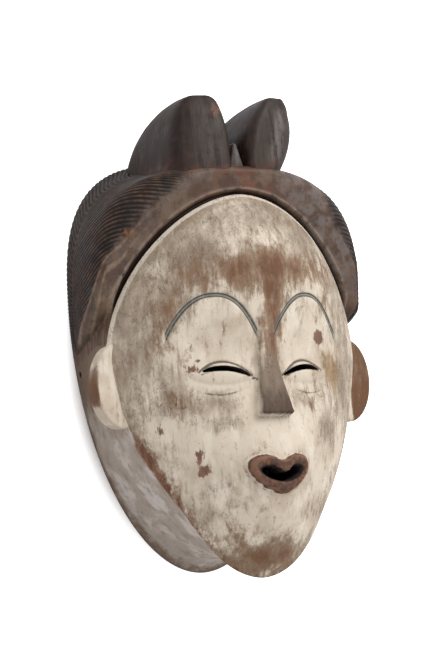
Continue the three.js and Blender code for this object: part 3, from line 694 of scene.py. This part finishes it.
hollow = bmesh.new()
hollow_column = hollow.verts.layers.int.new("column")
verts, turns, shares = open_sheet(hollow, HOLLOW_ACROSS, HOLLOW_ALONG, 1)
corners = HOLLOW_CORNER * np.minimum(reach(FACE, turns), hollow_foot(turns))
xs = shares * corners * np.cos(np.radians(turns))
ys = FACE["line"] + shares * corners * np.sin(np.radians(turns))
covers = WALL * (1 + 0.1 * smooth(shares, 0.65, 0.85) + 0.4 * smooth(shares, 0.85, 1))
zs = face_height(xs, ys) - covers
for vert, x, y, z in zip(verts, xs, ys, zs):
    gouged = GOUGE_DEPTH * noise.noise(Vector((x, y, 0)) / 9)
    put(vert, x, y, z - abs(gouged))
ring, ring_turns = ring_of(hollow)
for index, vert in enumerate(ring):
    vert[hollow_column] = index
feet = hollow_foot(ring_turns)
corners = HOLLOW_CORNER * np.minimum(reach(FACE, ring_turns), feet)
c, s = np.cos(np.radians(ring_turns)), np.sin(np.radians(ring_turns))
corner_z = face_height(corners * c, FACE["line"] + corners * s) - 1.5 * WALL
edges = [edge for edge in hollow.edges if edge.is_boundary]
for height, inward in HOLLOW_COURSES:
    far = lerp(feet, corners, inward)
    edges = extrude_course(hollow, edges, hollow_column, (far * c, FACE["line"] + far * s, corner_z * height))
below = (feet * c, FACE["line"] + feet * s, 0 * feet - WALL)
edges = extrude_course(hollow, edges, hollow_column, below)
bmesh.ops.edgeloop_fill(hollow, edges=edges)
bmesh.ops.recalc_face_normals(hollow, faces=hollow.faces)


def prism(outline_x, outline_y):
    """A straight cutter through the face from a flat outline."""
    mesh = bmesh.new()
    bmesh.ops.create_circle(mesh, cap_ends=True, radius=1, segments=len(outline_x))
    mesh.verts.ensure_lookup_table()
    for vert, x, y in zip(mesh.verts, outline_x, outline_y):
        put(vert, x, y, CUT_FROM)
    grown = bmesh.ops.extrude_face_region(mesh, geom=mesh.faces[:])["geom"]
    top = [item for item in grown if isinstance(item, bmesh.types.BMVert)]
    bmesh.ops.translate(mesh, verts=top, vec=(0, 0, (CUT_TO - CUT_FROM) * MM))
    bmesh.ops.recalc_face_normals(mesh, faces=mesh.faces)
    return mesh


def slit_outline(side):
    angle = np.linspace(0, 2 * np.pi, 48, endpoint=False)
    share = np.cos(angle)
    level = lerp(SLIT["inner"], SLIT["outer"], (share + 1) / 2) + SLIT["rise"] * (1 - share**2)
    lift = SLIT["open"] / 2 * np.sign(np.sin(angle)) * np.abs(np.sin(angle)) ** 0.8
    return side * (SLIT["x"] + SLIT["half"] * share), level + lift


angle = np.linspace(0, 2 * np.pi, 72, endpoint=False)
mouth_x, mouth_y = heart_outline(MOUTH, angle)
bore = bmesh.new()
bore_radius = LACING_HOLE["diameter"] / 2 * MM
bmesh.ops.create_cone(bore, cap_ends=True, segments=24, radius1=bore_radius, radius2=bore_radius,
                      depth=3 * FACE["half"] * MM)
turn_level = Matrix.Rotation(np.pi / 2, 4, "Y")
moved = Matrix.Translation(Vector((0, LACING_HOLE["y"] + MIDDLE_SHIFT, LACING_HOLE["z"])) * MM)
bmesh.ops.transform(bore, matrix=moved @ turn_level, verts=bore.verts)
HOLLOW_SLOT, OPENING_SLOT = 2, 3
cut_away(mask, [
    (finished("hollow", hollow, bare_wood), HOLLOW_SLOT),
    # The cut walls take the near-black painted shade.
    (finished("right_slit", prism(*slit_outline(1)), opening_shade_wood), OPENING_SLOT),
    (finished("left_slit", prism(*slit_outline(-1)), opening_shade_wood), OPENING_SLOT),
    (finished("mouth_opening", prism(mouth_x, MOUTH["y"] + mouth_y), opening_shade_wood), OPENING_SLOT),
    (finished("lacing_bore", bore, opening_shade_wood), OPENING_SLOT),
])


# Marks on the face and the hair
# Where the clay is worn, chipped, greyed or stained, where painted shade and highlights lie, and where the
# hair's band and locks are.
def paint(piece, name, values):
    """Keeps a number on each point of a piece, for its material to read."""
    layer = piece.data.attributes.get(name) or piece.data.attributes.new(name, "FLOAT", "POINT")
    layer.data.foreach_set("value", np.asarray(values, np.float32))


def patches(x, y, spots):
    """Soft spots, each with its place, its half size across and along, and its strength."""
    total = np.zeros_like(x)
    for spot_x, spot_y, across, along, strength in spots:
        total = np.maximum(total, bulge(x, y, (spot_x, spot_y), (across, along), strength))
    return total


def read(piece, name):
    values = np.empty(len(piece.data.vertices), np.float32)
    piece.data.attributes[name].data.foreach_get("value", values)
    return values


def points_of(piece):
    places = np.empty(len(piece.data.vertices) * 3, np.float32)
    piece.data.vertices.foreach_get("co", places)
    x, y, z = places.reshape(-1, 3).T.astype(float) / MM
    return x, y - MIDDLE_SHIFT, z


xs, ys, _ = points_of(mask)
alongs, ups = read(mask, "along"), read(mask, "up")
on_face = alongs <= 0
hair = np.where(alongs > 0, smooth(ups, 8, 17), 0)
face_turns = np.degrees(np.arctan2(ys - FACE["line"], xs))
face_ups = elevation(face_turns)
WEAR = [
    (-42, 33, 20, 9, 0.5), (-17, 38, 15, 10, 0.7), (7, 40, 13, 12, 0.95), (27, 38, 12, 9, 0.8),
    (43, 38, 13, 8, 0.75), (60, 36, 6, 10, 0.6), (6, 24, 8, 12, 1.0), (5, 8, 7, 13, 1.0),
    (3, -10, 6, 14, 0.8), (1, -28, 5, 12, 0.6), (-66, 6, 8, 16, 0.5), (-60, -48, 6, 8, 0.5),
    (0, -154, 24, 8, 0.9), (-24, -140, 12, 7, 0.5), (-85, -72, 4, 8, 0.6), (34, -53, 4, 5, 0.45),
    (62, -24, 4, 6, 0.4), (58, 20, 5, 10, 0.4), (-56, 28, 8, 6, 0.4),
]
CHIPS = [
    (-51, -26, 5, 3, 0.8), (-47, -21, 4, 1.5, 0.65), (-60, -50, 5, 6, 0.55), (-56, -44, 3, 4, 0.45),
    (-71, -66, 2.8, 4.5, 0.68), (-50, -84, 2.6, 5.5, 0.75), (-47, -94, 3.8, 4, 0.85),
    (-72, -70, 2, 2.5, 0.5), (48, -6, 4.6, 4.6, 1.0), (46, 4, 2, 4, 0.6), (10, 36, 10, 8, 0.42),
    (27, 37, 12, 5, 0.42), (-20, 37, 12, 5, 0.3), (33, -51, 5, 1.6, 0.62), (37, -56, 3, 2, 0.5),
    (64, -22, 2, 3, 0.4), (45, -125, 2, 4, 0.6), (8, 20, 4, 10, 0.36), (-50, -92, 2, 3, 0.5),
]
GREY = [
    (0, 76, 60, 16, 0.75), (-45, 55, 26, 26, 0.7), (40, 62, 24, 22, 0.7), (-80, 0, 16, 40, 0.8),
    (-62, 34, 20, 24, 0.7), (-41, -50, 14, 11, 0.85), (-84, -48, 9, 28, 0.55), (-24, -66, 12, 7, 0.25),
    (0, -72, 26, 8, 0.3), (34, -51, 7, 6, 0.4), (0, -152, 32, 9, 1.2), (66, 30, 12, 24, 0.6),
    (-34, -116, 18, 14, 0.35), (-64, -86, 14, 14, 0.35), (-10, 48, 62, 18, 0.55), (36, 10, 14, 10, 0.35),
    (70, -20, 12, 34, 0.6), (58, -62, 18, 22, 0.5), (-62, -34, 14, 22, 0.55), (-50, -64, 14, 12, 0.4),
    (-38, -63, 13, 9, 0.7), (44, -106, 14, 14, 0.3),
]
CLEAN = [
    (-32, -85, 20, 12, 0.85), (-29, -12, 19, 12, 0.6), (30, -12, 15, 12, 0.4), (0, -124, 20, 12, 0.35),
    (0, -74, 12, 8, 0.35), (-14, -62, 8, 12, 0.4), (-30, -34, 14, 5, 0.4), (30, -34, 14, 5, 0.4),
    (38, -84, 14, 12, 0.3), (-24, -104, 14, 12, 0.35),
]
OCHRE = [
    (60, -30, 6, 13, 0.9), (20, 30, 10, 8, 0.4), (55, 12, 5, 8, 0.6), (30, 70, 12, 10, 0.25),
    (-62, 14, 10, 10, 0.35),
]
nose_front = nose_parts(xs, ys)[1]
down_nose = nose_front * smooth(-ys, -6, 44)
foot_of_nose = nose_front * smooth(-ys, 26, 60)
across, share = brow_gap(xs, ys)
lips, mouth = heart_share(LIPS, xs, ys), heart_share(MOUTH, xs, ys)
crease, crease_share = arc_gap(CREASE, xs, ys)
slit, slit_share = arc_gap(SLIT, xs, ys)
bag, bag_share = arc_gap(BAG, xs, ys)
face_marks = {
    "wear": np.maximum(patches(xs, ys, WEAR), 0.3 * foot_of_nose),
    "nose": down_nose,
    "nose_foot": foot_of_nose,
    "chip": patches(xs, ys, CHIPS),
    "grey": np.maximum(patches(xs, ys, GREY), 0.8 * down_nose) - patches(xs, ys, CLEAN),
    "ochre": np.maximum(patches(xs, ys, OCHRE), 0.4 * down_nose),
    "brow": (np.abs(across) < 8) * (1 - smooth(np.abs(share), 0.85, 1.08)),
    "lip": 1 - smooth(lips, 0.96, 1.06),
    "lip_rim": near(lips - 0.9, 0.08),
    # Painted shade, near black, round the mouth's opening.
    "mouth": 1 - smooth(mouth, 1.02, 1.2),
    # Painted shade and dirt in the creases, with painted shadow just outside the lips and under the nose's
    # foot.
    "shade_and_dirt": np.maximum.reduce([
        0.95 * near(crease, 1.0) * (np.abs(crease_share) < 1.05),
        0.6 * near(np.abs(slit) - 1.6, 0.8) * (np.abs(slit_share) < 1.1),
        0.62 * near(bag, 1.1) * (1 - smooth(np.abs(bag_share), 0.5, 1)),
        0.5 * near(lips - 1.1, 0.05),
        0.5 * near(ys - NOSE["foot"] + 2, 1.2) * (np.abs(xs) < 12),
    ]),
    # Painted highlight along the plate's edge under the hair.
    "rim_highlight": smooth(alongs, -0.03, -0.012) * smooth(face_ups, -25, 10),
    "rim_soil": 0.6 * smooth(alongs, -0.14, -0.04) * (1 - smooth(alongs, -0.03, -0.01)),
}
for name, values in face_marks.items():
    paint(mask, name, np.where(on_face, values, 0))
paint(mask, "brow_gap", np.where(on_face, across, 30))
edge_fall = near(alongs, np.where(on_face, 0.036, 0.08))
left_jaw = smooth(-face_ups, 25, 39) * np.where(xs < 0, 1, 0.3)
paint(mask, "ridge", edge_fall * left_jaw * lerp(0.85, 0.5, smooth(-face_ups, 50, 66)))
paint(mask, "jaw_brown", np.where(on_face, 0, np.maximum(smooth(ups, -45, 5), 0.8 * smooth(alongs, 0.8, 1))))
outside = np.where(alongs > 0, 1, 0)
end_turn = lerp(22, 13, smooth(alongs, 0, 0.3))
base_turns = np.where(xs < 0, 180 - ups, ups)
starts = comb_start(base_turns)
before_locks = 1 - smooth(alongs, starts - 0.06, starts + 0.1)
paint(mask, "band", hair * smooth(alongs, 0.01, GROOVE_SHARE) * before_locks)
# Painted highlight along the band's raised inner lip.
paint(mask, "band_lip", 0.6 * hair * near(alongs - GROOVE_SHARE * 1.2, 0.014))
paint(mask, "locks", hair * smooth(alongs, starts - 0.03, starts + 0.08))
# Painted shade down in the groove round the face.
paint(mask, "groove", 0.55 * hair * smooth(alongs, 0.0005, 0.003) * (1 - smooth(alongs, 0.016, 0.05)))
paint(mask, "sheen", smooth(ups, 10, 35) * (1 - smooth(ups, 60, 80)) * np.where(xs > 0, 0.78, 0.3))
paint(mask, "reddish", smooth(ups, 35, 88) * 0.5)
over_band = np.clip((alongs - GROOVE_SHARE) / (starts - GROOVE_SHARE), 0, 1)
# Painted highlight on the ridged strands of the band's tail, on the left.
paint(mask, "tail_turn", 5 * np.pi * over_band)
on_band = hair * (over_band > 0) * (over_band < 1)
paint(mask, "tail", 0.75 * on_band * (1 - smooth(ups, 28, 50)) * (xs < 0))
HAIR_CHIPS = [
    (-82, 66, 6, 4, 0.65), (-77, 73, 4, 4, 0.45), (-88, 57, 3, 4, 0.45), (62, 92, 3, 4, 0.3),
]
paint(mask, "chip", read(mask, "chip") + outside * patches(xs, ys, HAIR_CHIPS))
paint(mask, "hair_end", outside * (1 - smooth(ups, end_turn - 5, end_turn + 3)))
is_hair = (alongs > 0.001) & (ups > 6)
for polygon in mask.data.polygons:
    on_hair = all(is_hair[vertex] or alongs[vertex] == 0 and ups[vertex] > 6 for vertex in polygon.vertices)
    if polygon.material_index == 0 and on_hair:
        polygon.material_index = 1

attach(mask, "root")
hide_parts("carved_mask")

# Crest
# Two boxy lobes of the same block, pared to rounded tops, with a small wedge left between their roots.
RIGHT_LOBE = {"x": 21.5, "lean": 15, "half": 14.3, "flare": 8, "foot": 0, "fullness": 0.37,
              "shine_at": 0.35, "shine_width": 0.4, "shine": 0.7}
LEFT_LOBE = {"x": -25, "lean": 2, "half": 20, "flare": 2, "foot": 4, "fullness": 0.48,
             "shine_at": 0.2, "shine_width": 0.3, "shine": 0.21}
CREST_ROOT = FACE["line"] + FACE["above"] + BAND_WIDTH - 6
LOBE_HEIGHT = 56
LOBE_DEPTH = 87
LOBE_APEX_BACK = 7
LOBE_FACE_TURN = 12
LOBE_SQUARENESS = 0.38
LOBE_COLUMNS = 120
LOBE_LEVELS = 56
WEDGE = {"half": 7, "top_half": 1.4, "height": 23, "depth": 17, "set_back": 2, "edge": 1.2}


def boxy_round(count, square):
    """Points round a square with rounded corners, evenly spaced along it."""
    angle = np.linspace(0, -2 * np.pi, 4001)
    c, s = np.cos(angle), np.sin(angle)
    x = np.sign(c) * np.abs(c) ** square
    z = np.sign(s) * np.abs(s) ** square
    walked = np.concatenate([[0], np.cumsum(np.hypot(np.diff(x), 2.2 * np.diff(z)))])
    even = np.linspace(0, walked[-1], count, endpoint=False)
    return np.interp(even, walked, x), np.interp(even, walked, z)


def coursed_body(columns, courses):
    """A closed mesh through courses of points that all go round the same way."""
    mesh = bmesh.new()
    column = mesh.verts.layers.int.new("column")
    bmesh.ops.create_circle(mesh, cap_ends=True, radius=1, segments=columns)
    for index, (vert, x, y, z) in enumerate(zip(mesh.verts, *courses[0])):
        vert[column] = index
        put(vert, x, y, z)
    edges = mesh.edges[:]
    for points in courses[1:]:
        edges = extrude_course(mesh, edges, column, points)
    bmesh.ops.edgeloop_fill(mesh, edges=edges)
    bmesh.ops.recalc_face_normals(mesh, faces=mesh.faces)
    return mesh


def lobe(name, shape):
    unit_x, unit_z = boxy_round(LOBE_COLUMNS, LOBE_SQUARENESS)
    side = np.sign(shape["x"])

    def section(height):
        left = np.sqrt(1 - height * height)
        spread = shape["flare"] * np.sin(np.pi * height) + shape["foot"] * (1 - height) ** 5
        across = unit_x * (shape["half"] + spread) * left ** shape["fullness"]
        front = EDGE_HAIRLINE_Z - LOBE_APEX_BACK * (1 - left)
        back = lerp(EDGE_HAIRLINE_Z - LOBE_APEX_BACK, EDGE_HAIRLINE_Z - LOBE_DEPTH, left)
        z = (front + back) / 2 + (front - back) / 2 * unit_z
        z = z - np.maximum(0, unit_z) * across * side * np.tan(np.radians(LOBE_FACE_TURN))
        fluted = np.array([noise.noise(Vector((x / 3.2, height, z / 9))) for x, z in zip(across, z)])
        across = across * (1 + 0.012 * fluted)
        y = CREST_ROOT + LOBE_HEIGHT * height
        return shape["x"] + shape["lean"] * height + across, y + 0 * across, z + 0.35 * fluted * unit_z - 0.3

    levels = np.linspace(0, np.pi / 2, LOBE_LEVELS)[:-1]
    mesh = coursed_body(LOBE_COLUMNS, [section(np.sin(level)) for level in levels])
    made = finished(name, mesh, hair_stain)
    facing = np.array([vert.normal.z for vert in made.data.vertices])
    at_x, at_y, _ = points_of(made)
    height = (at_y - CREST_ROOT) / LOBE_HEIGHT
    # Painted light: the lobes are lighter where they face forwards, towards the light, and dark on their
    # sides.
    paint(made, "front", 0.765 * smooth(facing, 0.35, 0.95))
    paint(made, "low", 1 - height)
    chip = bulge(at_x, at_y, (shape["x"] + 12, CREST_ROOT + 44), (5, 6), 0.6)
    paint(made, "chip", chip * (shape["x"] < 0) * (facing > 0))
    middle = shape["x"] + shape["lean"] * height
    over_middle = (at_x - middle) / shape["half"]
    shine = shape["shine"] * near(over_middle - shape["shine_at"], shape["shine_width"])
    up_lobe = smooth(height, 0.05, 0.3) * (1 - smooth(height, 0.75, 0.92))
    # Painted highlight: a lighter streak down each lobe's front facet.
    paint(made, "facet_highlight", shine * smooth(facing, 0.5, 0.9) * up_lobe)
    return made


wedge_mesh = bmesh.new()
bmesh.ops.create_cube(wedge_mesh, size=1)
for vert in wedge_mesh.verts:
    top = vert.co.y > 0
    x = np.sign(vert.co.x) * WEDGE["top_half" if top else "half"]
    down = WEDGE["depth"] if vert.co.z < 0 else WEDGE["set_back"] * (1 + top)
    put(vert, x, CREST_ROOT + WEDGE["height"] * top, EDGE_HAIRLINE_Z - down)
bmesh.ops.bevel(wedge_mesh, geom=wedge_mesh.edges[:], offset=WEDGE["edge"] * MM, offset_type="OFFSET",
                segments=3, profile=0.5, affect="EDGES", material=-1)
wedge = finished("crest_wedge", wedge_mesh, hair_stain)
# The wedge takes the painted highlight all over at about half strength.
paint(wedge, "facet_highlight", [0.49] * len(wedge.data.vertices))
crest = [lobe("left_lobe", LEFT_LOBE), lobe("right_lobe", RIGHT_LOBE), wedge]

# Ears
# A half oval slab stands out from the plate's edge on each side, with a white facet beside the face.
EAR = {"y": -33, "high": 29, "width": 10.5, "root": 8, "lift": 4, "slope": 2}
EAR_COLUMNS = 72
# The courses of an ear, each a share of its outline and a height over its front: dished in the middle, with
# a rolled rim, and drawn in a little at the back.
EAR_COURSES = [
    (0.3, -1), (0.5, -1), (0.65, -0.9), (0.78, -0.6), (0.86, -0.3), (0.92, -0.1), (0.96, -0.3), (0.985, -0.9),
    (1, -2), (1, -4), (0.995, -7), (0.99, -10), (0.98, -12), (0.96, -12.8), (0.9, -13),
]


def ear(name, side):
    angle = np.linspace(0, side * 2 * np.pi, EAR_COLUMNS, endpoint=False)

    def ring(share, lift):
        x = FACE["half"] - EAR["root"] + share * (EAR["root"] + EAR["width"]) * np.cos(angle)
        y = EAR["y"] + share * EAR["high"] * np.sin(angle)
        z = EDGE_SIDE_Z + EAR["lift"] - (x - FACE["half"]) * np.tan(np.radians(EAR["slope"])) + lift
        return side * x, y, z

    made = finished(name, coursed_body(EAR_COLUMNS, [ring(*course) for course in EAR_COURSES]), kaolin)
    at_x, at_y, _ = points_of(made)
    out = (np.abs(at_x) - FACE["half"]) / EAR["width"]
    low = smooth(-at_y, 20, 60)
    bared_from = -0.65 if side > 0 else 0.82
    bared = smooth(out + 0.15 * low * (side < 0), bared_from, bared_from + 0.2)
    paint(made, "wear", (0.8 + 0.4 * low) * bared)
    paint(made, "grey", 1.4 * smooth(out, bared_from - 0.1, bared_from + 0.15) - 0.3)
    return made


ears = [ear("right_ear", 1), ear("left_ear", -1)]
for piece in crest + ears:
    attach(piece, "root")

# Floor and light
# A plain near-white floor under soft studio light from the upper right. The camera sees the floor burnt out
# to white, as in the photograph, but for a soft shadow close under the mask. These sizes are in metres.
FLOOR_REACH = 4
SHADOW_MIDDLE = (0, -0.08, 0)
SHADOW_SHRINK = (0.01, 0.0066, 0)
SOFTBOX_PLACE = Vector((0.8, 0.9, 1.5))
SOFTBOX_SIZE = 0.9
SOFTBOX_POWER = 24
LIT_POINT = Vector((0, 0, 0.05))
WORLD_LIGHT = 0.8
floor_mesh = bmesh.new()
bmesh.ops.create_grid(floor_mesh, x_segments=1, y_segments=1, size=FLOOR_REACH)
floor_data = bpy.data.meshes.new("floor")
floor_mesh.to_mesh(floor_data)
floor_mesh.free()
floor = bpy.data.objects.new("floor", floor_data)
bpy.context.scene.collection.objects.link(floor)
pale, tree, shader, place = new_material("pale_floor")
seen = tree.nodes.new("ShaderNodeLightPath").outputs["Is Camera Ray"]
under = node(tree, "VectorMath", place, SHADOW_SHRINK, operation="MULTIPLY")
away = node(tree, "VectorMath", under, SHADOW_MIDDLE, operation="DISTANCE").node.outputs["Value"]
glow = node(tree, "MapRange", away, 0.85, 1.0, 0.0, seen)
fill(shader, Base_Color=srgb("#F6F5F6"), Roughness=0.9, Emission_Color=srgb("#FFFFFF"), Emission_Strength=glow)
floor_data.materials.append(pale)

world = bpy.data.worlds.new("studio")
world.use_nodes = True
fill(world.node_tree.nodes["Background"], Color=(1, 1, 1, 1), Strength=WORLD_LIGHT)
bpy.context.scene.world = world
bpy.context.scene.view_settings.view_transform = "Standard"

softbox = bpy.data.lights.new("key", "AREA")
softbox.shape = "SQUARE"
softbox.size = SOFTBOX_SIZE
softbox.energy = SOFTBOX_POWER
key = bpy.data.objects.new("key", softbox)
key.location = SOFTBOX_PLACE
key.rotation_euler = (SOFTBOX_PLACE - LIT_POINT).to_track_quat("Z", "Y").to_euler()
bpy.context.scene.collection.objects.link(key)
